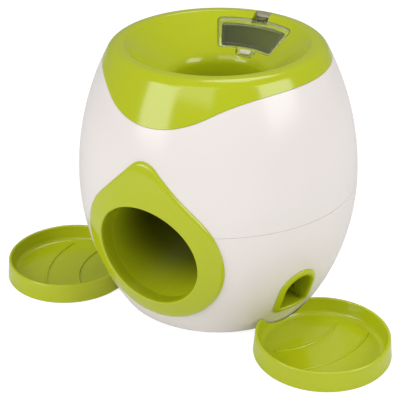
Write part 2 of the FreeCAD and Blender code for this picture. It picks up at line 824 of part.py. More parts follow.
def drum_case(side):
    """Upright box from a socket of the hopper down to the drum, with a spout under it."""

    def filled(half, room, spout_half, top, bottom):
        left, _ = across(side, "drum_middle - (%s)" % half, "drum_middle + (%s)" % half)
        casing = cylinder(room, "2 * (%s)" % half, (left, "shaft_back", "shaft_height"),
                          ALONG_X)
        spout = leg_box(side, spout_half, spout_half, bottom, "shaft_height - drum_radius / 2")
        return [leg_box(side, half, room, "shaft_height", top), casing, spout]

    bottom = "(shaft_height - %s - spout_depth)" % CASING
    bore = cylinder("shaft_radius + shaft_clearance", FAR,
                    ("-belly_radius", "shaft_back", "shaft_height"), ALONG_X)
    outside = filled(LEG_OUTSIDE, CASING, "spout_half_width", "hopper_bottom - seat_gap", bottom)
    inside = filled(LEG_INSIDE, DRUM_ROOM, "spout_half_width - spout_wall",
                    "hopper_bottom + wall", bottom + " - 1")
    return cut(fuse(*outside), bore, *inside)


# ---------------------------------------------------------------- shaft, wheel and drums

SHAFT_HALF = "(drum_middle + %s + shaft_overhang)" % LEG_OUTSIDE


def on_shaft(thing, middle="0", degrees=0):
    """Puts a solid on the shaft, turned about it."""
    return put(thing, middle, "shaft_back", "shaft_height",
               FreeCAD.Rotation(V(1, 0, 0), degrees))


def paddle_wheel():
    """Hub with four paddles; a ball pushes each one down a quarter turn."""
    wheel = body("wheel")
    pad(wheel, circle_sketch(wheel, "YZ_Plane", "hub_radius"), "hub_width")
    blade = plane_sketch(wheel, "YZ_Plane", [
        ("hub_radius - 1", "-paddle_thickness / 2"),
        ("paddle_reach - paddle_thickness / 2", "-paddle_thickness / 2"),
        ("paddle_reach", "0", "paddle_thickness / 2"),
        ("paddle_reach - paddle_thickness / 2", "paddle_thickness / 2",
         "paddle_thickness / 2"),
        ("hub_radius - 1", "paddle_thickness / 2")])
    around(wheel, [pad(wheel, blade, "paddle_width")], "X_Axis", 4)
    doc.recompute()
    wheel.Tip = pocket(wheel, circle_sketch(wheel, "YZ_Plane", "shaft_radius"),
                       "2 * hub_width")
    return on_shaft(wheel, "0", 45)


def dosing_drum(side):
    """Drum with two dose pockets; the left one's are a quarter turn from the right's."""
    drum = body("drum")
    pad(drum, circle_sketch(drum, "YZ_Plane", "drum_radius"), "drum_width")
    doc.recompute()
    dose = pocket(drum, circle_sketch(drum, "YZ_Plane", "dose_radius", "dose_offset"),
                  "drum_width - 2 * hopper_wall")
    around(drum, [dose], "X_Axis", 2)
    doc.recompute()
    drum.Tip = pocket(drum, circle_sketch(drum, "YZ_Plane", "shaft_radius"),
                      "2 * drum_width")
    return on_shaft(drum, "%d * drum_middle" % side, 0 if side > 0 else 90)


def wheel_shaft():
    return cylinder("shaft_radius", "2 * %s" % SHAFT_HALF,
                    ("-" + SHAFT_HALF, "shaft_back", "shaft_height"), ALONG_X)


def shaft_clips():
    """A push-on clip just outside each leg."""
    clips = []
    for side in SIDES.values():
        near = "(drum_middle + %s + butt_gap)" % LEG_OUTSIDE
        left, _ = across(side, near, "%s + clip_thickness" % near)
        clips.append(cylinder("clip_radius", "clip_thickness",
                              (left, "shaft_back", "shaft_height"), ALONG_X))
    bore = cylinder("shaft_radius", FAR, ("-belly_radius", "shaft_back", "shaft_height"),
                    ALONG_X)
    return cut(fuse(*clips), bore)


# ---------------------------------------------------------------- ports and chutes

def facing(side):
    """Turn and outward direction of the port on one side."""
    angle = side * number("port_azimuth")
    turn = FreeCAD.Rotation(V(0, 0, 1), angle)
    return turn.multiply(UPRIGHT), turn.multVec(V(0, -1, 0))


def arch(half, middle, floor, side, start, end):
    """A prism of an arch facing the port's way, between two distances from the axis."""
    turn, out = facing(side)
    shape = outline([
        ("-(%s)" % half, floor), (half, floor), (half, middle),
        ("0", "%s + (%s)" % (middle, half), half),
        ("-(%s)" % half, middle, half)], rotation=turn)
    return extruded(shape, out, end, "-(%s)" % start)


def port_arch(grow, side, start, end):
    """The port's own arch, grown all round by a wall."""
    return arch("port_half_width + (%s)" % grow, "port_arch_height",
                "port_floor - (%s)" % grow, side, start, end)


def port_bezel(side):
    """Frame of a treat port, with a sleeve through the housing's wall."""
    turn, out = facing(side)
    corner, half, low = "bezel_corner", "bezel_half_width", "bezel_bottom"
    frame = outline([
        ("-%s + %s" % (half, corner), low, corner),
        ("%s - %s" % (half, corner), low),
        (half, "%s + %s" % (low, corner), corner),
        (half, "bezel_arch_height"),
        ("0", "bezel_arch_height + %s" % half, half),
        ("-" + half, "bezel_arch_height", half),
        ("-" + half, "%s + %s" % (low, corner))], rotation=turn)
    low, high = "foot_gap", "seam_height + wall"
    plate = cut(extruded(frame, out, FAR, "-tray_base_radius"), egg("-seat_gap", low, high))
    sleeve = port_arch("sleeve_wall", side, "port_sleeve", FAR)
    proud = common(egg("-bezel_proud", low, high), fuse(plate, sleeve))
    return cut(proud, port_arch("0", side, "tray_base_radius", FAR))


def treat_chute(side):
    """Open channel from under a drum to an arched tube behind the port."""
    foot = facing(side)[1] * number("chute_turn") + V(0, 0, number("port_floor"))
    head = V(side * number("drum_middle"), number("shaft_back"), number("chute_top_floor"))
    along = (head - foot).normalize()
    sideways = V(0, 0, 1).cross(along).normalize()
    turn = FreeCAD.Rotation(along, sideways, along.cross(sideways), "XYZ")
    length = (head - foot).Length

    def channel(half, depth, reach, drop):
        box = doc.addObject("Part::Box", "channel")
        box.Length = length + number(reach)
        bind(box, "Width", "2 * (%s)" % half)
        bind(box, "Height", depth)
        start = foot - sideways * number(half) - turn.multVec(V(0, 0, number(drop)))
        box.Placement = FreeCAD.Placement(start, turn)
        return box

    outside = fuse(
        channel("chute_half_width + chute_wall", "chute_depth + chute_wall",
                "chute_overrun + chute_wall", "chute_wall"),
        port_arch("sleeve_wall", side, "chute_turn - chute_arch_depth",
                  "port_sleeve - butt_gap"))
    inside = fuse(
        channel("chute_half_width", "2 * chute_depth", "chute_overrun", "0"),
        port_arch("0", side, "chute_turn - chute_arch_depth - chute_depth",
                  "port_sleeve + wall"))
    return cut(outside, inside)


# ---------------------------------------------------------------- housings

POSTS = [("%d * front_post_x" % side, "front_post_y") for side in SIDES.values()]
POSTS += [("%d * back_post_x" % side, "back_post_y") for side in SIDES.values()]
SEAM_UNDER = "(seam_height - seam_gap / 2)"
SEAM_OVER = "(seam_height + seam_gap / 2)"
FLOOR_TOP = "(foot_gap + floor_thickness)"


def foot_spots():
    """Centres of the four feet."""
    spots = []
    for side in SIDES.values():
        for end in (1, -1):
            spots.append(("%d * foot_circle * sin(foot_azimuth)" % side,
                          "%d * foot_circle * cos(foot_azimuth)" % end))
    return spots


def hook_prism(side, half, bottom, top, start, end):
    """A flat bar under a port's middle, between two distances from the axis."""
    turn, out = facing(side)
    bar = outline(rectangle("-(%s)" % half, bottom, half, top), rotation=turn)
    return extruded(bar, out, end, "-(%s)" % start)


HOOK_ROOM = "(tray_floor + hook_gap)"


def lower_housing():
    """Cup under the seam: floor, tunnel saddles, screw posts and the slots for the trays."""
    path = outline([
        (lower_surface_radius("foot_gap"), "foot_gap"),
        (lower_surface_radius(SEAM_UNDER), SEAM_UNDER, "lower_curve")], closed=False)
    shell = revolved(ribbon(path, "wall"))
    floor = egg("wall / 2", "foot_gap", FLOOR_TOP)
    root = "(seam_height - tongue_root)"
    face = "(belly_radius - wall - fit_gap)"
    tongue = revolved(outline([
        (lower_surface_radius(root, "wall / 2"), root),
        ("belly_radius - wall / 2", "%s - tongue_wall" % SEAM_UNDER),
        (face, SEAM_UNDER),
        (face, "seam_height + tongue_height"),
        ("%s - tongue_wall" % face, "seam_height + tongue_height"),
        ("%s - tongue_wall" % face, "%s + tongue_wall" % root)]))
    posts, bores = [], []
    for spot in POSTS:
        posts.append(cylinder("post_radius", "%s - foot_gap" % SEAM_UNDER, spot + ("foot_gap",)))
        bores.append(cylinder("post_bore", "post_seat", spot + ("0",)))
        bores.append(cylinder("screw_radius + screw_clearance", "seam_height", spot + ("0",)))
    saddles = []
    for place in ("-saddle_front", "saddle_back"):
        lift = "saddle_height + ((%s) + saddle_front) * tan(tunnel_slope)" % place
        saddles.append(block(
            ("-saddle_width / 2", "%s - saddle_wall / 2" % place, FLOOR_TOP + " - wall / 2"),
            ("saddle_width / 2", "%s + saddle_wall / 2" % place, lift)))
    saddles = cut(fuse(*saddles), tunnel_cylinder(
        "tunnel_radius + wall + butt_gap", "-belly_radius", "belly_radius"))
    pads, cuts = [], []
    for side in SIDES.values():
        pads.append(common(egg("wall / 2", "foot_gap", "seam_height"), hook_prism(
            side, "hook_width / 2 + wall", "foot_gap + wall / 2", HOOK_ROOM + " + wall",
            "hook_reach - 2 * wall", FAR)))
        cuts.append(hook_prism(side, "hook_width / 2 + hook_gap", "0", HOOK_ROOM,
                               "hook_reach - 2 * hook_gap", FAR))
        cuts.append(port_arch("sleeve_wall + fit_gap", side, "tray_base_radius", FAR))
    for spot in foot_spots():
        cuts.append(cylinder("foot_radius + seat_gap", "foot_height", spot + ("0",)))
    outlet = outlet_cylinder("outlet_radius + spigot_wall + fit_gap", "-saddle_front - wall")
    return cut(fuse(shell, floor, tongue, saddles, *(posts + pads)), outlet, *(cuts + bores))


def upper_housing():
    """Shell over the seam, thickened behind the skirt and cut to its wave."""
    low = "(skirt_height - skirt_dip)"
    shell = upper_shell("0", "wall", SEAM_OVER, "skirt_height + wall")
    ledge = upper_shell("wall - seat_gap", "ledge_wall + wall / 2", "%s - ledge_drop" % low,
                        "skirt_height + wall / 2")
    skirt_room = common(
        wave_band("skirt_gap", above=True),
        upper_shell("-wall", "2 * wall + skirt_gap", "%s - wall" % low, "crest_height - wall"))
    bosses, pilots = [], []
    for spot in POSTS:
        bosses.append(cylinder("boss_radius", "boss_height", spot + (SEAM_OVER,)))
        pilots.append(cylinder("screw_radius + thread_gap", "pilot_depth", spot + (SEAM_OVER,)))
    ribs, half = [], "boss_rib / 2"
    top = "%s + boss_height" % SEAM_OVER
    for side in SIDES.values():
        left, right = across(side, "front_post_x + boss_radius / 2", "belly_radius")
        ribs.append(block((left, "front_post_y - %s" % half, SEAM_OVER),
                          (right, "front_post_y + %s" % half, top)))
        left, right = across(side, "back_post_x - %s" % half, "back_post_x + %s" % half)
        ribs.append(block((left, "back_post_y + boss_radius / 2", SEAM_OVER),
                          (right, "belly_radius", top)))
    inner_rib_room = egg("wall + fit_gap + tongue_wall + seam_gap", "foot_gap", "skirt_height")
    above_tongue = block(("-" + FAR, "-" + FAR, "seam_height + tongue_height + seam_gap"),
                         (FAR, FAR, "skirt_height"))
    ribs = fuse(common(fuse(*ribs), inner_rib_room),
                common(fuse(*ribs), egg("wall / 2", "foot_gap", "skirt_height"), above_tongue))
    outlet = outlet_cylinder("outlet_radius + spigot_wall + fit_gap", "-saddle_front - wall")
    whole = fuse(cut(fuse(shell, ledge), skirt_room), ribs, *bosses)
    return cut(whole, outlet, *pilots)


# ---------------------------------------------------------------- trays, feet and screws

def treat_tray(side):
    """Round tray with a crescent cut to fit the body, two arc ribs and a hook."""
    under = "(tray_floor - tray_wall)"
    rim_height = "(tray_height - tray_rim_round)"
    inner_rim = "(tray_rim_radius - tray_rim_round)"
    outer_rim = "(tray_rim_radius + tray_rim_round)"
    dish = turned_body("dish", [
        ("0", under),
        ("tray_inner_radius - tray_wall", under),
        ("tray_rim_radius - tray_rim_round / 4", "%s - 2 * tray_wall" % rim_height),
        ("tray_base_radius - tray_wall", "0"),
        ("tray_base_radius", "0"),
        (outer_rim, rim_height),
        ("tray_rim_radius", "tray_height", "tray_rim_round"),
        (inner_rim, rim_height, "tray_rim_round"),
        ("tray_inner_radius", "tray_floor + tray_fillet"),
        ("tray_inner_radius - tray_fillet", "tray_floor", "-tray_fillet"),
        ("0", "tray_floor")])
    turn, out = facing(side)
    middle = [("%s * (%.12f)" % ("(%s)", share)) for share in (out.x, out.y)]
    at = (middle[0] % "tray_distance", middle[1] % "tray_distance", "0")
    put(dish, *at)
    ribs = []
    for bend, crest in (("inner_rib_bend", "inner_rib_crest"),
                        ("outer_rib_bend", "outer_rib_crest")):
        reach = "tray_distance + %s - %s" % (crest, bend)
        spot = (middle[0] % reach, middle[1] % reach, "tray_floor - tray_wall / 2")
        height = "rib_height + tray_wall / 2"
        ribs.append(cut(cylinder("%s + rib_width / 2" % bend, height, spot),
                        cylinder("%s - rib_width / 2" % bend, height, spot)))
    ribs = common(fuse(*ribs), cylinder("rib_reach", "tray_height", at))
    room = egg("-tray_body_gap", "0", "tray_height + wall")
    hook = hook_prism(side, "hook_width / 2", under, "tray_floor", "hook_reach",
                      "tray_distance - tray_inner_radius + 3 * tray_wall")
    return fuse(cut(fuse(dish, ribs), room), hook)


def rubber_feet():
    return fuse(*[cylinder("foot_radius", "foot_height", spot + ("0",))
                  for spot in foot_spots()])


def screw(x, y, seat):
    """Pan-head screw pointing up, its head under the seat."""
    head = cylinder("screw_head_radius", "screw_head_height",
                    (x, y, "%s - screw_head_height" % seat))
    shank = cylinder("screw_radius", "pilot_depth + (seam_height - post_seat) - wall",
                     (x, y, seat))
    return [head, shank]


def housing_screws():
    parts = []
    for x, y in POSTS:
        parts += screw(x, y, "post_seat")
    return fuse(*parts)


def hopper_screws():
    """Two screws up through the hopper's ears into the bowl's bosses."""
    parts = []
    for side in SIDES.values():
        x = "%d * ear_side" % side
        parts.append(cylinder("screw_head_radius", "screw_head_height",
                              (x, "ear_back", "ear_height - screw_head_height")))
        parts.append(cylinder("screw_radius", "pilot_depth - wall", (x, "ear_back", "ear_height")))
    return fuse(*parts)


# ---------------------------------------------------------------- the whole dispenser

def build():
    parts = {
        "lower_housing": lower_housing(),
        "upper_housing": upper_housing(),
        "top_bowl": top_bowl(),
        "front_ring": front_ring(),
        "drop_tube": drop_tube(),
        "treat_hopper": treat_hopper(),
        "hopper_lid": hopper_lid(),
        "lid_hinge_pin": hinge_cylinder("pin_radius", "pin_length"),
        "paddle_wheel": paddle_wheel(),
        "wheel_shaft": wheel_shaft(),
        "shaft_clips": shaft_clips(),
        "rubber_feet": rubber_feet(),
        "housing_screws": housing_screws(),
        "hopper_screws": hopper_screws(),
    }
    for name, side in SIDES.items():
        parts[name + "_ball_tunnel"] = ball_tunnel(side)
        parts[name + "_drum_case"] = drum_case(side)
        parts[name + "_dosing_drum"] = dosing_drum(side)
        parts[name + "_port_bezel"] = port_bezel(side)
        parts[name + "_treat_chute"] = treat_chute(side)
        parts[name + "_tray"] = treat_tray(side)
    return parts


def export(parts):
    """Checks every object and writes one STEP file for each sub-part."""
    doc.recompute()
    for thing in doc.Objects:
        if {"Invalid", "Error"} & set(thing.State):
            raise RuntimeError("%s failed: %s" % (thing.Name, thing.State))
    for name, part in parts.items():
        part.Label = name
        shape = part.Shape
        if shape.isNull() or not shape.isValid() or not shape.Solids:
            raise RuntimeError("%s has no valid solid" % name)
    os.makedirs("parts", exist_ok=True)
    for name, part in parts.items():
        part.Shape.exportStep("parts/%s.step" % name)
        print("%-22s %d solids %10.0f mm3" % (name, len(part.Shape.Solids), part.Shape.Volume))


export(build())
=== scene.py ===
import json
import math

import bmesh
import bpy
from mathutils import Matrix, Vector


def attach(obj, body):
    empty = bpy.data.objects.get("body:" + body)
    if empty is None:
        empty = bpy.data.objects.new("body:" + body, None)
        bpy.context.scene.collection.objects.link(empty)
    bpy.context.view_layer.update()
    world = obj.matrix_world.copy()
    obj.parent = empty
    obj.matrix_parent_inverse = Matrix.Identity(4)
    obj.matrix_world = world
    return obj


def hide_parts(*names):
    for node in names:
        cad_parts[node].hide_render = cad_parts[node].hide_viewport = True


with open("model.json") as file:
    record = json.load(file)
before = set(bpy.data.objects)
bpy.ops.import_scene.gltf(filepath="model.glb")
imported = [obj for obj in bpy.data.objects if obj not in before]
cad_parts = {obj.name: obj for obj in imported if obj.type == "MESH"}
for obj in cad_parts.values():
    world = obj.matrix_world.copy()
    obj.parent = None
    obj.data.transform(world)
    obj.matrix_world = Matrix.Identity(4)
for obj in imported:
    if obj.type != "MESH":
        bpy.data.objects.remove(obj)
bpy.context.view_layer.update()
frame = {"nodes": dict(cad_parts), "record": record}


def direction(degrees):
    """Cosine and sine of an angle in degrees."""
    return math.cos(math.radians(degrees)), math.sin(math.radians(degrees))


# The pieces are drawn in millimetres in the row frame and made metres as they are finished.
# The egg's outside is two arcs that meet at the seam.
BASE = 1.5
BELLY = 129.8
SEAM = 121.0
WALL = 2.4
CREST = 250.0
CREST_RADIUS = 87.9
BASE_RADIUS = 93.93

# The lip rolls over from the outside to the bowl: a round, a flat crest and a small round.
LIP_ROUND = 12.5
LIP_FLAT = 3.2
LIP_INNER = 3.0
LIP = (CREST_RADIUS, CREST - LIP_ROUND)
LIP_EDGE = (CREST_RADIUS - LIP_FLAT, CREST - LIP_INNER)
LIP_FOOT = 238.5
LOWER_BEND = (((BELLY - BASE_RADIUS) ** 2 + (SEAM - BASE) ** 2)
              / (2 * (BELLY - BASE_RADIUS)))
UPPER_BEND = LIP_ROUND + (((BELLY - LIP_ROUND - CREST_RADIUS) ** 2
                           + (CREST - LIP_ROUND - SEAM) ** 2)
                          / (2 * (BELLY - LIP_ROUND - CREST_RADIUS)))
SHOULDER_ANGLE = math.degrees(math.asin((CREST - LIP_ROUND - SEAM)
                                        / (UPPER_BEND - LIP_ROUND)))

# The bowl's wall is a cone down to the throat, which steepens into the neck.
BOWL_SLOPE = 40
SLOPE_ALONG, SLOPE_DOWN = direction(BOWL_SLOPE)
BOWL_TOP = (CREST_RADIUS - LIP_FLAT - LIP_INNER * SLOPE_DOWN,
            CREST - LIP_INNER * (1 - SLOPE_ALONG))
THROAT_SLOPE = 75
THROAT_ROUND = 16.0
THROAT_EDGE = 43.99
NECK = 43.5
NECK_FOOT = 190.01
SCOOP_DOWN, SCOOP_DEPTH, SCOOP_BALL = 42.4, 2.2, 20.0
HINGE = (88, 246.3)

# The skirt's edge waves down from its level by the dip; both shells have a row that follows it.
SKIRT_LEVEL = 237.0
SKIRT_DIP = 27.2
WAVE_ROW = 214

# The two white shells leave a fine gap at the seam, bridged inside by a tongue.
CUP_TOP = 120.85
SHELL_FOOT = 121.15
CUP_FLOOR = 4.1
TONGUE_INNER, TONGUE_OUTER, TONGUE_TOP = 125.2, 127.0, 126.0
STEP_FOOT, STEP_TOP = 200.8, 238.2
POSTS = [(side * 64.3, -54.0) for side in (1, -1)] + [(side * 24.0, 80.0) for side in (1, -1)]

# The ball's outlet faces the front; a treat port and its tray lie to each side of it.
OUTLET = 91.2
OUTLET_HOLE, OUTLET_BACK = 54.0, -72.4
OUTLET_RADIUS = 49.6
SPIGOT_END = 105.14
PORT_AZIMUTH = 67.5
SIDES = {"right": 1, "left": -1}
BEYOND = 260
ROUND = 224


# ---------------------------------------------------------------- outlines and solids

class Outline:
    """Edges in the upright plane through the axis, made by moving and turning the last point."""

    def __init__(self, x, z):
        self.mesh = bmesh.new()
        self.first = self.last = self.mesh.verts.new((x, 0, z))

    def line(self, x, z, steps=1):
        start, end = self.last.co.copy(), Vector((x, 0, z))
        for step in range(1, steps + 1):
            self.last = bmesh.ops.extrude_vert_indiv(self.mesh, verts=[self.last])["verts"][0]
            self.last.co = start.lerp(end, step / steps)
        return self

    def bend(self, x, z, degrees, steps):
        """Turns the last point about a centre; positive is anticlockwise seen from the front."""
        turned_point = bmesh.ops.spin(
            self.mesh, geom=[self.last], cent=(x, 0, z), axis=(0, -1, 0),
            angle=math.radians(degrees), steps=steps)
        self.last = [item for item in turned_point["geom_last"]
                     if isinstance(item, bmesh.types.BMVert)][0]
        return self

    def close(self):
        self.mesh.edges.new((self.last, self.first))
        return self

    def weld(self):
        """Closes an outline whose last point lies on its first."""
        bmesh.ops.remove_doubles(self.mesh, verts=self.mesh.verts[:], dist=0.001)
        return self

    def rejoin(self):
        """Closes such an outline by leaving its last point out, the others in their order."""
        bmesh.ops.delete(self.mesh, geom=[self.last], context="VERTS")
        self.mesh.verts.ensure_lookup_table()
        self.mesh.edges.new((self.mesh.verts[-1], self.mesh.verts[0]))
        return self


def tidy(mesh):
    """Welds points that coincide and turns every face outwards."""
    bmesh.ops.remove_doubles(mesh, verts=mesh.verts[:], dist=0.0005)
    bmesh.ops.recalc_face_normals(mesh, faces=mesh.faces[:])
    return mesh


def turned(outline, steps=ROUND):
    """A full turn of an outline about the body's axis."""
    mesh = outline.mesh
    bmesh.ops.spin(mesh, geom=mesh.verts[:] + mesh.edges[:], cent=(0, 0, 0), axis=(0, 0, 1),
                   angle=2 * math.pi, steps=steps, use_merge=True)
    return tidy(mesh)


def swept(outline, sweep, steps, facing):
    """Part of a turn, evenly to both sides of a direction, with its ends filled."""
    mesh = outline.mesh
    turn(mesh, facing - sweep / 2)
    bmesh.ops.spin(mesh, geom=mesh.verts[:] + mesh.edges[:], cent=(0, 0, 0), axis=(0, 0, 1),
                   angle=math.radians(sweep), steps=steps)
    tidy(mesh)
    bmesh.ops.holes_fill(mesh, edges=[edge for edge in mesh.edges if edge.is_boundary])
    return tidy(mesh)


def turn(mesh, degrees):
    """Turns a mesh about the body's axis."""
    bmesh.ops.rotate(mesh, verts=mesh.verts[:], cent=(0, 0, 0),
                     matrix=Matrix.Rotation(math.radians(degrees), 3, "Z"))
    return mesh


def prism(outline, near, far, azimuth=0):
    """An outline filled and pushed outwards, between two distances from the axis."""
    mesh = outline.mesh
    face = bmesh.ops.contextual_create(mesh, geom=mesh.edges[:])["faces"]
    pushed = bmesh.ops.extrude_face_region(mesh, geom=face)["geom"]
    moved = [item for item in pushed if isinstance(item, bmesh.types.BMVert)]
    bmesh.ops.translate(mesh, verts=moved, vec=(0, near - far, 0))
    bmesh.ops.translate(mesh, verts=mesh.verts[:], vec=(0, -near, 0))
    turn(mesh, azimuth)
    return tidy(mesh)


def slab(half, low, high, near, far, azimuth):
    """A flat bar that points outwards, with half its width and its two heights."""
    outline = Outline(-half, low).line(half, low).line(half, high).line(-half, high)
    return prism(outline.close(), near, far, azimuth)


def bar(low, high):
    """A box between two corners."""
    mesh = bmesh.new()
    bmesh.ops.create_cube(mesh, size=1)
    bmesh.ops.scale(mesh, verts=mesh.verts[:], vec=[b - a for a, b in zip(low, high)])
    bmesh.ops.translate(mesh, verts=mesh.verts[:], vec=[(a + b) / 2 for a, b in zip(low, high)])
    return mesh


def rod(radius, start, end, segments):
    """A round bar between two points."""
    start, end = Vector(start), Vector(end)
    mesh = bmesh.new()
    bmesh.ops.create_cone(mesh, cap_ends=True, segments=segments, radius1=radius,
                          radius2=radius, depth=(end - start).length)
    bmesh.ops.rotate(mesh, verts=mesh.verts[:], cent=(0, 0, 0),
                     matrix=(end - start).to_track_quat("Z", "Y").to_matrix())
    bmesh.ops.translate(mesh, verts=mesh.verts[:], vec=(start + end) / 2)
    return mesh


def outlet_rod(radius, front, back):
    """A rod along the middle of the ball's outlet."""
    return rod(radius, (0, front, OUTLET), (0, back, OUTLET), 160)


def hinge_rod(radius, half, segments):
    """A rod along the lid's hinge, with half its length."""
    return rod(radius, (-half, *HINGE), (half, *HINGE), segments)


def loose_object(mesh):
    """An object for the modifiers to work on, taken out again by worked."""
    data = bpy.data.meshes.new("solid")
    mesh.to_mesh(data)
    mesh.free()
    thing = bpy.data.objects.new("solid", data)
    bpy.context.scene.collection.objects.link(thing)
    return thing


def worked(mesh, *steps):
    """Cuts, adds or overlaps other solids, in order: pairs of an operation and a solid."""
    base = loose_object(mesh)
    used = [base]
    for operation, solid in steps:
        tool = loose_object(solid)
        used.append(tool)
        modifier = base.modifiers.new(operation, "BOOLEAN")
        modifier.operation = operation
        modifier.solver = "EXACT"
        modifier.object = tool
    bpy.context.view_layer.update()
    done = base.evaluated_get(bpy.context.evaluated_depsgraph_get())
    result = bmesh.new()
    result.from_mesh(done.to_mesh())
    done.to_mesh_clear()
    for thing in used:
        data = thing.data
        bpy.data.objects.remove(thing)
        bpy.data.meshes.remove(data)
    bmesh.ops.remove_doubles(result, verts=result.verts[:], dist=0.0005)
    return result


def cut(mesh, *solids):
    return worked(mesh, *[("DIFFERENCE", solid) for solid in solids])


def add(mesh, *solids):
    return worked(mesh, *[("UNION", solid) for solid in solids])


def overlap(mesh, solid):
    return worked(mesh, ("INTERSECT", solid))


def soften(mesh, width, segments):
    """Rounds the edges where two faces meet at more than 50 degrees."""
    edges = [edge for edge in mesh.edges
             if len(edge.link_faces) == 2 and edge.calc_face_angle(0) > math.radians(50)]
    bmesh.ops.bevel(mesh, geom=edges, offset=width, offset_type="OFFSET", segments=segments,
                    affect="EDGES", profile=0.5, material=-1, clamp_overlap=True)
    return mesh


def finish_piece(name, mesh, body, material, nodes=(), angle=35):
    """Makes the piece metres, smooth but for its sharp edges, and part of a body."""
    bmesh.ops.scale(mesh, verts=mesh.verts[:], vec=(0.001, 0.001, 0.001))
    for face in mesh.faces:
        face.smooth = True
    data = bpy.data.meshes.new(name)
    mesh.to_mesh(data)
    mesh.free()
    data.set_sharp_from_angle(angle=math.radians(angle))
    data.materials.append(material)
    piece = bpy.data.objects.new(name, data)
    bpy.context.scene.collection.objects.link(piece)
    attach(piece, body)
    if nodes:
        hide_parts(*nodes)
    return piece


# ---------------------------------------------------------------- the egg's surface

def egg_radius(z, proud=0.0):
    """Radius of the outside at a height, with the surface moved out by an amount."""
    bend = UPPER_BEND if z > SEAM else LOWER_BEND
    return BELLY - bend + math.sqrt((bend + proud) ** 2 - (z - SEAM) ** 2)


def egg_angle(z, inset=0.0):
    """Angle about the arc's centre of a height on the surface, in degrees."""
    bend = UPPER_BEND if z > SEAM else LOWER_BEND
    return math.degrees(math.asin((z - SEAM) / (bend - inset)))


def egg_point(angle, inset=0.0):
    """Point of the upper arc at an angle about its centre, an inset inside the surface."""
    across, up = direction(angle)
    return (BELLY - UPPER_BEND + (UPPER_BEND - inset) * across,
            SEAM + (UPPER_BEND - inset) * up)


def cup_solid(proud, bottom, top):
    """The cup's outside, moved out by an amount and filled between two heights."""
    outline = Outline(0, bottom).line(egg_radius(bottom, proud), bottom)
    outline.bend(BELLY - LOWER_BEND, SEAM, egg_angle(top, -proud) - egg_angle(bottom, -proud), 40)
    return turned(outline.line(0, top))


def wave_level(x, y):
    """Height of the skirt's edge at a place on the surface: two arcs to each side."""
    reach = egg_radius(SKIRT_LEVEL) - 1.5
    bend = (reach ** 2 + SKIRT_DIP ** 2) / (4 * SKIRT_DIP)
    x = abs(x)
    if y >= 0 or x >= reach:
        return SKIRT_LEVEL
    if x < reach / 2:
        return SKIRT_LEVEL - SKIRT_DIP + bend - math.sqrt(bend ** 2 - x ** 2)
    return SKIRT_LEVEL - bend + math.sqrt(bend ** 2 - (x - reach) ** 2)


def follow_wave(mesh, flat_angle, top_angle, gap, least, most):
    """Slides the rows of a turned wall so that the row at one angle follows the wave.

    Only points between a least and a most inset move, and none above the top angle."""
    for vert in mesh.verts:
        radius = math.hypot(vert.co.x, vert.co.y)
        out, up = radius - BELLY + UPPER_BEND, vert.co.z - SEAM
        inset, angle = UPPER_BEND - math.hypot(out, up), math.degrees(math.atan2(up, out))
        if not least < inset < most or angle < 0.2 or angle > top_angle - 0.001:
            continue
        across, along = vert.co.x / radius, vert.co.y / radius
        level = SKIRT_LEVEL
        for _ in range(8):
            level = wave_level(across * egg_radius(level), along) - gap
        wanted = egg_angle(level)
        if angle >= flat_angle - 0.001:
            share = (top_angle - angle) / (top_angle - flat_angle)
            angle = top_angle - share * (top_angle - wanted)
        else:
            angle = angle * wanted / flat_angle
        radius, height = egg_point(angle, inset)
        vert.co = (across * radius, along * radius, height)
    return mesh


# ---------------------------------------------------------------- finishes

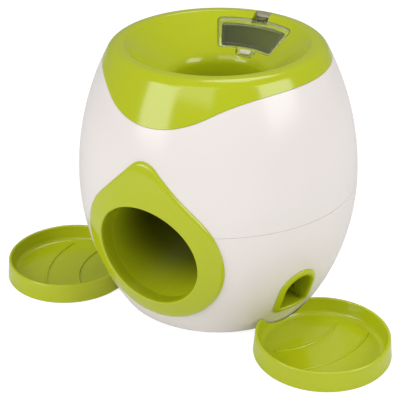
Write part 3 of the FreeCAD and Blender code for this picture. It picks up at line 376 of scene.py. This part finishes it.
def finish(name, colour, roughness, drift=0.04, grain=0.05, ripple=0.02, painted_shade=None,
           **shader_values):
    """Moulded plastic, rubber or metal: colour drift, a fine grain and the mould's ripple.

    Painted shade is given as two places along the row frame's y and the share of the colour left
    at the second: the colour darkens the deeper inside the plastic lies, where shade falls."""
    material = bpy.data.materials.new(name)
    material.use_nodes = True
    tree = material.node_tree
    shader = tree.nodes["Principled BSDF"]
    place = tree.nodes.new("ShaderNodeTexCoord")

    def noise(scale, detail):
        texture = tree.nodes.new("ShaderNodeTexNoise")
        texture.inputs["Scale"].default_value = scale
        texture.inputs["Detail"].default_value = detail
        tree.links.new(place.outputs["Object"], texture.inputs["Vector"])
        return texture.outputs["Fac"]

    clouds = noise(14, 3)
    fine = noise(1400, 2)
    flow = noise(38, 2)
    tint = tree.nodes.new("ShaderNodeMix")
    tint.data_type = "RGBA"
    tint.inputs[6].default_value = (*[c * (1 - drift) for c in colour], 1)
    tint.inputs[7].default_value = (*[min(1, c * (1 + drift)) for c in colour], 1)
    tree.links.new(clouds, tint.inputs[0])
    tree.links.new(tint.outputs[2], shader.inputs["Base Color"])
    # Painted shade: the colour darkens along the row frame's y, deeper into the tunnel.
    if painted_shade:
        deep = tree.nodes.new("ShaderNodeMix")
        deep.data_type = "RGBA"
        deep.inputs[7].default_value = (*[c * painted_shade[2] for c in colour], 1)
        axes = tree.nodes.new("ShaderNodeSeparateXYZ")
        depth = tree.nodes.new("ShaderNodeMapRange")
        depth.interpolation_type = "SMOOTHSTEP"
        depth.inputs["From Min"].default_value = painted_shade[0]
        depth.inputs["From Max"].default_value = painted_shade[1]
        tree.links.new(place.outputs["Object"], axes.inputs[0])
        tree.links.new(axes.outputs["Y"], depth.inputs["Value"])
        tree.links.new(depth.outputs["Result"], deep.inputs[0])
        tree.links.new(tint.outputs[2], deep.inputs[6])
        tree.links.new(deep.outputs[2], shader.inputs["Base Color"])
    spread = tree.nodes.new("ShaderNodeMapRange")
    spread.inputs["To Min"].default_value = roughness * (1 - 4 * drift)
    spread.inputs["To Max"].default_value = roughness * (1 + 4 * drift)
    tree.links.new(flow, spread.inputs["Value"])
    tree.links.new(spread.outputs["Result"], shader.inputs["Roughness"])
    skin = tree.nodes.new("ShaderNodeBump")
    skin.inputs["Strength"].default_value = grain
    skin.inputs["Distance"].default_value = 0.0001
    tree.links.new(fine, skin.inputs["Height"])
    wave = tree.nodes.new("ShaderNodeBump")
    wave.inputs["Strength"].default_value = ripple
    wave.inputs["Distance"].default_value = 0.004
    tree.links.new(flow, wave.inputs["Height"])
    tree.links.new(skin.outputs["Normal"], wave.inputs["Normal"])
    tree.links.new(wave.outputs["Normal"], shader.inputs["Normal"])
    for field, value in shader_values.items():
        shader.inputs[field.replace("_", " ")].default_value = value
    return material


WHITE_SHELL = finish("white_shell", (0.81, 0.758, 0.73), 0.24, 0.012, 0.05, 0.015,
                     Specular_IOR_Level=0.4)
LIME = finish("lime_plastic", (0.455, 0.515, 0.008), 0.15, 0.03, 0.05, 0.02,
              Specular_IOR_Level=0.5)
CLEAR = finish("clear_lid", (0.93, 0.95, 0.86), 0.04, 0.02, 0.02, 0.03,
               Transmission_Weight=1.0, IOR=1.46)
# A paler, hazier copy of the clear lid: painted highlight for the light caught along the lid's
# edges and on its raised pad.
CLEAR_SIDE_PAINTED_HIGHLIGHT = finish("clear_lid_side_painted_highlight", (0.82, 0.81, 0.64), 0.25, 0.03, 0.10, 0.02,
                    Transmission_Weight=0.3, IOR=1.46)
# A darker, browner copy of the clear lid for its hinge: painted shade for the dark seen in and
# through the clear knuckle.
CLEAR_HINGE_PAINTED_SHADE = finish("clear_lid_hinge_painted_shade", (0.40, 0.37, 0.27), 0.22, 0.05, 0.10, 0.03,
                     Transmission_Weight=0.35, IOR=1.46)
INNER = finish("inner_plastic", (0.40, 0.41, 0.40), 0.42, 0.05, 0.10, 0.02)
# Lime for the ball's way: painted light, a little brighter than the lime at the tunnel's mouth,
# and painted shade that darkens it to a fifth deeper inside.
TUNNEL_PAINTED_LIGHT_AND_SHADE = finish("tunnel_painted_light_and_shade", (0.50, 0.56, 0.010), 0.5, 0.05, 0.08, 0.02,
                (-0.112, -0.045, 0.2), Specular_IOR_Level=0.1)
STEEL = finish("bright_steel", (0.62, 0.62, 0.63), 0.28, 0.03, 0.08, 0.01, Metallic=1.0)
RUBBER = finish("foot_rubber", (0.022, 0.022, 0.022), 0.62, 0.08, 0.30, 0.02)
FINISHES = {"white_shell": WHITE_SHELL, "lime_plastic": LIME, "clear_plastic": CLEAR,
            "inner_plastic": INNER, "steel": STEEL, "rubber": RUBBER}

for part in frame["record"]["subparts"]:
    node = frame["nodes"][part["node"]]
    node.data.materials.clear()
    # Pieces of the ball's way take the tunnel finish with its painted light and shade.
    inside_lime = any(word in part["node"] for word in ("tunnel", "tube", "wheel"))
    node.data.materials.append(TUNNEL_PAINTED_LIGHT_AND_SHADE if inside_lime else FINISHES[part["material_slot"]])


# ---------------------------------------------------------------- cutters shared by pieces

def arch(half, middle, low, corner, straight, around, last=90):
    """Outline of a treat port: two rounded corners below and half a circle above.

    Its straight sides and its half circle are drawn in as many steps as asked for."""
    outline = Outline(corner - half, low).line(half - corner, low, straight)
    outline.bend(half - corner, low + corner, 90, 8).line(half, middle, straight)
    outline.bend(0, middle, 180, around).line(-half, low + corner, straight)
    return outline.bend(corner - half, low + corner, last, 8)


def bowl_point(down, depth):
    """A point down the bowl's sloping wall and a depth behind its face."""
    return (BOWL_TOP[0] - SLOPE_ALONG * down + SLOPE_DOWN * depth,
            BOWL_TOP[1] - SLOPE_DOWN * down - SLOPE_ALONG * depth)


# Panels of the bowl's back wall are drawn flat, with each degree about the axis this wide.
DEGREE = 1.12


def wall_panel(half, start, end, corner, tab=None):
    """Outline of a panel from a start to an end down the wall, with a tab below it.

    Half its width is in degrees.  A tab has half a width, an end and a corner's radius."""
    half *= DEGREE
    if not tab:
        outline = Outline(corner - half, -end).line(half - corner, -end)
    else:
        across, low, nook = tab[0] * DEGREE, tab[1], tab[2]
        outline = Outline(nook - across, -low).line(across - nook, -low)
        outline.bend(across - nook, nook - low, 90, 8).line(across, -end - 1)
        outline.bend(across + 1, -end - 1, -90, 4).line(half - corner, -end)
    outline.bend(half - corner, corner - end, 90, 10).line(half, -start - corner)
    outline.bend(half - corner, -start - corner, 90, 10).line(corner - half, -start)
    outline.bend(corner - half, -start - corner, 90, 10).line(-half, corner - end)
    outline.bend(corner - half, corner - end, 90, 10)
    if tab:
        outline.line(-across - 1, -end).bend(-across - 1, -end - 1, -90, 4)
        outline.line(-across, nook - low).bend(nook - across, nook - low, 90, 8)
    return outline.weld()


def bent_panel(outline, upper, lower, bevel=0.0):
    """A panel bent to the bowl's wall between two depths, its top edge leaned back."""
    mesh = prism(outline, upper, lower)
    start = max(vert.co.z for vert in mesh.verts)
    for number in range(-33, 34):
        bmesh.ops.bisect_plane(mesh, geom=mesh.verts[:] + mesh.edges[:] + mesh.faces[:],
                               plane_co=(number * DEGREE, 0, 0), plane_no=(1, 0, 0))
    for vert in mesh.verts:
        angle, down, depth = math.radians(vert.co.x / DEGREE), -vert.co.z, -vert.co.y
        if depth > upper + 0.001:
            down = max(down, bevel - start)
        reach, level = bowl_point(down, depth)
        vert.co = (reach * math.sin(angle), reach * math.cos(angle), level)
    bmesh.ops.connect_verts_concave(mesh, faces=mesh.faces[:])
    return tidy(mesh)


# ---------------------------------------------------------------- white housings

def lower_housing():
    """White cup: floor, locating tongue, screw posts, tunnel saddles and its openings."""
    low, high, inner_top = 2.6, 120.55, 112
    centre = (BELLY - LOWER_BEND, SEAM)
    outline = Outline(0, BASE).line(egg_radius(BASE) - 1.4, BASE, 6).line(egg_radius(low), low)
    outline.bend(*centre, egg_angle(high) - egg_angle(low), 56)
    outline.line(BELLY - 0.3, CUP_TOP).line(TONGUE_OUTER, CUP_TOP)
    outline.line(TONGUE_OUTER, TONGUE_TOP).line(TONGUE_INNER, TONGUE_TOP)
    outline.line(TONGUE_INNER, 114.0).line(egg_radius(inner_top, -WALL), inner_top)
    outline.bend(*centre, egg_angle(CUP_FLOOR, WALL) - egg_angle(inner_top, WALL), 48)
    mesh = turned(outline.line(0, CUP_FLOOR))
    solids, cuts = [], [outlet_rod(OUTLET_HOLE, -BEYOND, OUTLET_BACK)]
    for x, y in POSTS:
        solids.append(rod(6.2, (x, y, 1.9), (x, y, CUP_TOP), 40))
        cuts.append(rod(4.2, (x, y, -1), (x, y, 108), 32))
        cuts.append(rod(1.9, (x, y, 100), (x, y, 122), 24))
    for place in (-70.0, 20.0):
        tunnel = rod(52.0, (0, -200, 77.87), (0, 120, 122.85), 96)
        top = 57 + (place + 70) * math.tan(math.radians(8))
        solids.append(cut(bar((-36, place - 1.5, 3), (36, place + 1.5, top)), tunnel))
    along, across = direction(35)
    for side in SIDES.values():
        azimuth = side * PORT_AZIMUTH
        cuts.append(prism(arch(17.9, 50.1, 25.2, 7, 1, 40).weld(), 62.7, BEYOND, azimuth))
        cuts.append(slab(12.6, -1, 3.4, 84.8, BEYOND, azimuth))
        solids.append(overlap(slab(14.4, 2.5, 5.8, 81.2, 120, azimuth),
                              cup_solid(-1.2, 1.6, 119)))
        for end in (1, -1):
            x, y = side * 77 * across, end * 77 * along
            cuts.append(rod(7.1, (x, y, -1), (x, y, 2.4), 40))
    return cut(add(mesh, *solids), *cuts)


def upper_housing():
    """White shell over the seam, stepped in under the skirt along its wave."""
    edge, step, ledge, gap = 0.3, 2.65, 5.7, 0.25
    low, flat, top = SHELL_FOOT + edge, egg_angle(WAVE_ROW), egg_angle(STEP_TOP, step)
    centre = (BELLY - UPPER_BEND, SEAM)
    outline = Outline(BELLY - edge, SHELL_FOOT).line(egg_radius(low), low)
    outline.bend(*centre, flat - 0.06 - egg_angle(low), 60)
    outline.line(*egg_point(flat, edge)).line(*egg_point(flat, step))
    outline.bend(*centre, top - flat, 8).line(egg_radius(STEP_TOP, -ledge), STEP_TOP)
    outline.bend(*centre, egg_angle(STEP_FOOT, ledge) - egg_angle(STEP_TOP, ledge), 12)
    outline.line(egg_radius(STEP_FOOT, -WALL), STEP_FOOT)
    outline.bend(*centre, 0.04 - egg_angle(STEP_FOOT, WALL), 40).close()
    mesh = turned(outline)
    for least, most in ((-0.1, edge + 0.1), (step - 0.1, step + 0.1)):
        follow_wave(mesh, flat, top, gap, least, most)
    solids = [rod(4.6, (x, y, SHELL_FOOT), (x, y, 151.15), 40) for x, y in POSTS]
    cuts = [outlet_rod(OUTLET_HOLE, -BEYOND, OUTLET_BACK)]
    cuts += [rod(1.8, (x, y, 120), (x, y, 138.15), 24) for x, y in POSTS]
    return cut(add(mesh, *solids), *cuts)


# ---------------------------------------------------------------- green bowl and lid

def rolled_lip(outline, low):
    """Adds the outside from an angle up over the lip to the top of the bowl's wall."""
    outline.bend(BELLY - UPPER_BEND, SEAM, SHOULDER_ANGLE - low, 22)
    outline.bend(*LIP, 90 - SHOULDER_ANGLE, 20).line(LIP_EDGE[0], CREST, 2)
    return outline.bend(*LIP_EDGE, BOWL_SLOPE, 8)


def bowl_outline():
    """The moulding's section: skirt, rolled lip, sloping bowl, throat and neck."""
    low = egg_angle(WAVE_ROW)
    outline = rolled_lip(Outline(*egg_point(low)), low)
    outline.line(*bowl_point(THROAT_EDGE, 0), 18)
    throat = bowl_point(THROAT_EDGE, THROAT_ROUND)
    outline.bend(*throat, THROAT_SLOPE - BOWL_SLOPE, 12)
    steep = math.tan(math.radians(THROAT_SLOPE))
    outline.line(NECK, outline.last.co.z - (outline.last.co.x - NECK) * steep)
    outline.line(NECK, 190.4, 2).line(NECK + 0.4, NECK_FOOT).line(NECK + WALL, NECK_FOOT)
    under = [spot + (THROAT_ROUND - WALL) * away
             for spot, away in zip(throat, direction(THROAT_SLOPE + 90))]
    outline.line(NECK + WALL, under[1] - (under[0] - NECK - WALL) * steep, 2).line(*under)
    outline.bend(*throat, BOWL_SLOPE - THROAT_SLOPE, 12)
    outline.line(*bowl_point(0, WALL), 18)
    outline.bend(*LIP_EDGE, -BOWL_SLOPE, 6).line(CREST_RADIUS, CREST - WALL)
    outline.bend(*LIP, SHOULDER_ANGLE - 90, 16)
    outline.bend(BELLY - UPPER_BEND, SEAM, low - SHOULDER_ANGLE, 22)
    return outline.close()


def filled_lip():
    """The rolled lip without its hollow, to hold the lid's hinge."""
    outline = Outline(BOWL_TOP[0], LIP_FOOT).line(egg_radius(LIP_FOOT), LIP_FOOT)
    return turned(rolled_lip(outline, egg_angle(LIP_FOOT)).close())


def top_bowl():
    """Bowl, lip and skirt, with the lid's opening and ledge, finger scoop and hinge notch."""
    mesh = turned(bowl_outline())
    follow_wave(mesh, egg_angle(WAVE_ROW), SHOULDER_ANGLE, 0, -0.1, 2.5)
    solids = [overlap(bar((-13.5, 82.6, LIP_FOOT), (13.5, 110, 249.4)), filled_lip())]
    reach, level = bowl_point(SCOOP_DOWN, SCOOP_DEPTH - SCOOP_BALL)
    scoop = bmesh.new()
    bmesh.ops.create_uvsphere(scoop, u_segments=160, v_segments=80, radius=SCOOP_BALL)
    bmesh.ops.translate(scoop, verts=scoop.verts[:], vec=(0, reach, level))
    opening = bent_panel(wall_panel(30.7, 6.1, 39.0, 4.6, (11.2, 46.1, 3.0)), -WALL, 2 * WALL)
    ledge = cut(bent_panel(wall_panel(32.2, 4.6, 40.5, 5.0, (12.6, 47.6, 3.6)), 2.2, 3.4),
                bent_panel(wall_panel(27.1, 11.8, 36.5, 3.2), 0, 6))
    cuts = [bar((-8.2, 75.57, 241), (8.2, 92.3, 253)), hinge_rod(1.25, 12.55, 32)]
    for side in SIDES.values():
        solids.append(rod(3.6, (side * 36, 46, 196), (side * 36, 46, 222.6), 40))
        cuts.append(rod(1.8, (side * 36, 46, 190), (side * 36, 46, 210), 24))
    return cut(add(cut(add(mesh, *solids), opening, scoop), ledge), *cuts)


def paint_side_highlights(mesh):
    """Gives the sides and raised faces of the lid's panels a second, paler material, a painted
    highlight, and its hinge a third, darker one, a painted shade.
    """
    for face in mesh.faces:
        middle = face.calc_center_median()
        if abs(middle.x) < 8 and middle.y > 74:
            face.material_index = 2 if middle.y > 81 else 0
            continue
        reach = math.hypot(middle.x, middle.y)
        away = Vector((-SLOPE_DOWN * middle.x / reach, -SLOPE_DOWN * middle.y / reach,
                       SLOPE_ALONG))
        face.normal_update()
        edge = Vector((BOWL_TOP[0] * middle.x / reach, BOWL_TOP[0] * middle.y / reach,
                       BOWL_TOP[1]))
        raised = (middle - edge).dot(away) > 0.3
        face.material_index = int(raised or abs(face.normal.dot(away)) < 0.8)
    return mesh


def hopper_lid():
    """Clear lid: flange and tab with its pad, sunk window, strap and hinge barrel."""
    flange = bent_panel(wall_panel(29.75, 6.6, 38.5, 4.0, (10.25, 45.6, 2.4)), 0, 2.1, 1.6)
    soften(flange, 0.45, 3)
    pan = bent_panel(wall_panel(26.5, 12.4, 35.9, 3.2), 1.05, 2.9)
    well = bent_panel(wall_panel(25.3, 13.8, 34.0, 2.4), -WALL, 1.4)
    strap = bar((-5.2, 76.51, 242.9), (5.2, *HINGE))
    pad = bent_panel(wall_panel(6.4, 39.7, 44.1, 1.4), -0.5, 1.0)
    soften(pad, 0.25, 2)
    whole = add(flange, pan, strap, hinge_rod(3.5, 7.7, 48), pad)
    return paint_side_highlights(cut(whole, well, hinge_rod(1.2, 12.5, 32)))


# ---------------------------------------------------------------- collars on the egg

# A row of a collar that lies right on its hole, and the distance from the axis where a
# collar's sleeve ends, from which rows below the surface keep clear over this depth.
HOLE = -1e-6
SLEEVE_CLEAR = 106.3
SLEEVE_DEPTH = 8


def collar(outside, hole, rows, azimuth):
    """A plate bent to the egg round a hole, closed on itself, facing an azimuth.

    Points of the two outlines go in pairs.  A row is a distance from the outside, or a
    negative one from the hole, or a share of the way as text; and either how proud of the
    egg it is or, with a true third value, how far from the axis."""
    pairs = [(a.co.copy(), b.co.copy()) for a, b in zip(outside.mesh.verts, hole.mesh.verts)]
    hole.mesh.free()
    mesh = outside.mesh
    spoke = mesh.verts.layers.int.new("spoke")
    for number, vert in enumerate(mesh.verts):
        vert[spoke] = number

    def place(vert, row):
        start, end = pairs[vert[spoke]]
        length = (end - start).length
        room = math.sqrt(egg_radius(end.z) ** 2 - end.x ** 2) - SLEEVE_CLEAR
        share, out = row[0], row[1]
        if isinstance(share, str):
            share = float(share)
        else:
            share = share / length if share >= 0 else 1 + share / length
        spot = start.lerp(end, share)
        if len(row) == 3:
            vert.co = (spot.x, -out, spot.z)
        else:
            out *= min(1, room / SLEEVE_DEPTH) if out < 0 else 1
            vert.co = (spot.x, -math.sqrt(egg_radius(spot.z, out) ** 2 - spot.x ** 2), spot.z)

    for vert in mesh.verts:
        place(vert, rows[0])
    edges = mesh.edges[:]
    for row in rows[1:] + rows[:1]:
        grown = bmesh.ops.extrude_edge_only(mesh, edges=edges)["geom"]
        edges = [item for item in grown if isinstance(item, bmesh.types.BMEdge)]
        moved = [item for item in grown if isinstance(item, bmesh.types.BMVert)]
        edges = [edge for edge in edges if all(vert in moved for vert in edge.verts)]
        for vert in moved:
            place(vert, row)
    turn(mesh, azimuth)
    return tidy(mesh)


def front_ring():
    """Leaf-shaped ring with rolled edges and a spigot towards the tunnel."""
    flank, ring, tip_round = 45.5, 69.5, 16.5
    over, around = 180 - 2 * flank, 270.9999
    along, up = direction(flank)
    tip = OUTLET + (ring - tip_round) / up
    leaf = Outline(ring * along, OUTLET + ring * up)
    leaf.line(tip_round * along, tip + tip_round * up, 26).bend(0, tip, over, 28)
    leaf.line(-ring * along, OUTLET + ring * up, 26).bend(0, OUTLET, around, 144).rejoin()
    hole = Outline(OUTLET_RADIUS * along, OUTLET + OUTLET_RADIUS * up)
    hole.bend(0, OUTLET, over, 80).bend(0, OUTLET, around, 144)
    rows = [(0, 0.1), (0, 0.7), (0.15, 1.3), (0.5, 2.0), (1.1, 2.55), (1.9, 2.88), (2.8, 3.0),
            ("0.25", 3.0), ("0.4", 3.0), ("0.55", 3.0), ("0.7", 3.0), ("0.85", 3.0),
            (-1.6, 3.0), (-1.1, 2.92), (-0.6, 2.65), (-0.2, 2.2), (HOLE, 1.6),
            (HOLE, -2.0), (HOLE, -6.0), (HOLE, SPIGOT_END, True), (-0.4, SPIGOT_END, True),
            (-4, SPIGOT_END, True), (-4, 0.1), ("0.6", 0.1), ("0.4", 0.1), ("0.2", 0.1)]
    return collar(leaf, hole, rows, 0)


def tunnel_seal():
    """Thin ring that closes the joint between the spigot and the tunnel's mouth."""
    return cut(outlet_rod(52.4, -SPIGOT_END, -104.84), outlet_rod(49.56, -106, -104))


def port_bezel(side):
    """Arched frame with rolled edges and a sleeve through the wall."""
    sleeve_end = 105.7
    rows = [(0, 0.1), (0, 0.5), (0.25, 0.95), (0.8, 1.4), (1.7, 1.85), (2.7, 2.2),
            ("0.55", 2.4), (-2.2, 2.5), (-1.6, 2.4), (-1.05, 2.1), (-0.55, 1.5), (-0.2, 0.7),
            (HOLE, -0.4), (HOLE, -2.5), (HOLE, sleeve_end, True), (-0.1, sleeve_end, True),
            (-2, sleeve_end, True), (-2, 0.1), ("0.5", 0.1), ("0.2", 0.1)]
    return collar(arch(20.7, 50.6, 22.6, 9.5, 10, 48, 89.9999).rejoin(),
                  arch(14.2, 50.1, 28.8, 4, 10, 48, 89.9999).rejoin(), rows,
                  side * PORT_AZIMUTH)


# ---------------------------------------------------------------- trays

# How far each dish's middle lies from the body's axis and how many degrees the dish is turned
# about that axis, while its hook stays square in its slot.
TRAY_PLACES = {1: (151.3, 0.8), -1: (149.9, 0.0)}


def treat_tray(side):
    """Round tray, scooped to fit the body, with two arched ribs and a hook."""
    away, askew = TRAY_PLACES[side]
    outline = Outline(0, 1.0).line(54.5, 1.0, 8).line(58.2, 13).line(60.1, 0.3)
    outline.line(60.4, 0).line(61.6, 0).line(61.86, 0.4).line(60.3, 17.1, 3)
    outline.bend(58.8, 17.1, 180, 12).line(56.0, 7.8, 2).bend(51.0, 7.8, -90, 10)
    outline.line(0, 2.8, 10)
    mesh = turned(outline, 240)
    bmesh.ops.translate(mesh, verts=mesh.verts[:], vec=(0, -away, 0))
    ribs = []
    for bend, middle, half in ((70, -80.3, 31.5), (97, -75.6, 29.5)):
        rib = Outline(bend - 1.1, 2.2).line(bend + 1.1, 2.2).line(bend + 1.1, 3.0)
        rib = swept(rib.bend(bend, 3.0, 180, 8).close(), 2 * half, 48, -90)
        bmesh.ops.translate(rib, verts=rib.verts[:], vec=(0, -away - middle, 0))
        ribs.append(rib)
    mesh = cut(add(mesh, *ribs), cup_solid(1.0, 0.2, 60), bar((-60, -100, -5), (60, 0, 0.5)))
    mesh = add(mesh, slab(12, 1, 2.8, 86, 101, -askew))
    return turn(mesh, side * PORT_AZIMUTH + askew)


# ---------------------------------------------------------------- the dressed pieces

finish_piece("lower_shell", lower_housing(), "housing", WHITE_SHELL,
             ["lower_housing"])
finish_piece("upper_shell", upper_housing(), "housing", WHITE_SHELL,
             ["upper_housing"])
finish_piece("green_bowl", top_bowl(), "housing", LIME, ["top_bowl"])
finish_piece("outlet_ring", front_ring(), "housing", LIME, ["front_ring"], 50)
# The seal takes the tunnel finish with its painted light and shade.
finish_piece("outlet_seal", tunnel_seal(), "housing", TUNNEL_PAINTED_LIGHT_AND_SHADE)
clear_lid = finish_piece("clear_lid", hopper_lid(), "lid", CLEAR,
                         ["hopper_lid"])
# The lid's second material is its painted highlight, the third its painted shade.
clear_lid.data.materials.append(CLEAR_SIDE_PAINTED_HIGHLIGHT)
clear_lid.data.materials.append(CLEAR_HINGE_PAINTED_SHADE)
for name, side in SIDES.items():
    finish_piece(name + "_port_frame", port_bezel(side), "housing", LIME,
                 [name + "_port_bezel"], 50)
    finish_piece(name + "_dish", treat_tray(side), name + "_tray_body", LIME,
                 [name + "_tray"])


# ---------------------------------------------------------------- floor, light and camera

def studio_floor():
    mesh = bmesh.new()
    bmesh.ops.create_grid(mesh, x_segments=1, y_segments=1, size=6)
    data = bpy.data.meshes.new("floor")
    mesh.to_mesh(data)
    mesh.free()
    material = bpy.data.materials.new("pale_floor")
    material.use_nodes = True
    tree = material.node_tree
    shader = tree.nodes["Principled BSDF"]
    shader.inputs["Roughness"].default_value = 0.9
    shader.inputs["Specular IOR Level"].default_value = 0.1
    shader.inputs["Emission Color"].default_value = (1, 1, 1, 1)
    path = tree.nodes.new("ShaderNodeLightPath")
    for socket, plain, seen in (("Emission Strength", 0.0, 0.84), ("Base Color", 0.84, 0.3)):
        level = tree.nodes.new("ShaderNodeMapRange")
        level.inputs["To Min"].default_value = plain
        level.inputs["To Max"].default_value = seen
        tree.links.new(path.outputs["Is Camera Ray"], level.inputs["Value"])
        tree.links.new(level.outputs["Result"], shader.inputs[socket])
    data.materials.append(material)
    floor = bpy.data.objects.new("floor", data)
    floor.location.z = -0.0002
    bpy.context.scene.collection.objects.link(floor)


def studio_world(level):
    world = bpy.data.worlds.new("studio")
    world.use_nodes = True
    tree = world.node_tree
    background = tree.nodes["Background"]
    path = tree.nodes.new("ShaderNodeLightPath")
    seen = tree.nodes.new("ShaderNodeMath")
    seen.operation = "MAXIMUM"
    tree.links.new(path.outputs["Is Camera Ray"], seen.inputs[0])
    tree.links.new(path.outputs["Is Transmission Ray"], seen.inputs[1])
    strength = tree.nodes.new("ShaderNodeMapRange")
    strength.inputs["To Min"].default_value = level
    strength.inputs["To Max"].default_value = 1.0
    tree.links.new(seen.outputs[0], strength.inputs["Value"])
    tree.links.new(strength.outputs["Result"], background.inputs["Strength"])
    background.inputs["Color"].default_value = (1, 1, 1, 1)
    bpy.context.scene.world = world


def softbox(name, place, target, width, height, power):
    lamp = bpy.data.lights.new(name, "AREA")
    lamp.shape = "RECTANGLE"
    lamp.size = width
    lamp.size_y = height
    lamp.energy = power
    thing = bpy.data.objects.new(name, lamp)
    thing.location = place
    thing.rotation_euler = (Vector(target) - Vector(place)).to_track_quat("-Z", "Y").to_euler()
    bpy.context.scene.collection.objects.link(thing)


studio_floor()
studio_world(0.31)
softbox("left_softbox", (-0.69, -1.42, 0.80), (0, 0, 0.12), 0.83, 0.98, 12)
softbox("right_softbox", (1.56, 0.02, 0.97), (0, 0, 0.12), 1.0, 0.92, 14)
softbox("top_softbox", (-0.05, 0.6, 1.85), (0, 0, 0.15), 0.8, 0.8, 8)
softbox("front_softbox", (0.18, -1.29, 1.30), (0, 0, 0.15), 1.0, 0.8, 5)

# The lens is given by its focal length in pixels of a picture this wide.
FOCAL, PICTURE_WIDTH, SENSOR = 1185.3, 400, 36
ROLL = 0.746

lens = bpy.data.cameras.new("camera")
lens.lens = FOCAL / PICTURE_WIDTH * SENSOR
lens.sensor_width = SENSOR
lens.clip_start = 0.05
camera = bpy.data.objects.new("camera", lens)
camera.location = (0.50880, -0.85787, 0.61750)
ahead = Vector((-0.46408, 0.75226, -0.46769)).normalized()
right = ahead.cross(Vector((0, 0, 1))).normalized()
upward = right.cross(ahead)
roll = Matrix.Rotation(math.radians(ROLL), 3, ahead)
frame_axes = Matrix((roll @ right, roll @ upward, -ahead)).transposed()
camera.rotation_euler = frame_axes.to_euler()
bpy.context.scene.collection.objects.link(camera)
bpy.context.scene.camera = camera
bpy.context.scene.view_settings.view_transform = "Standard"
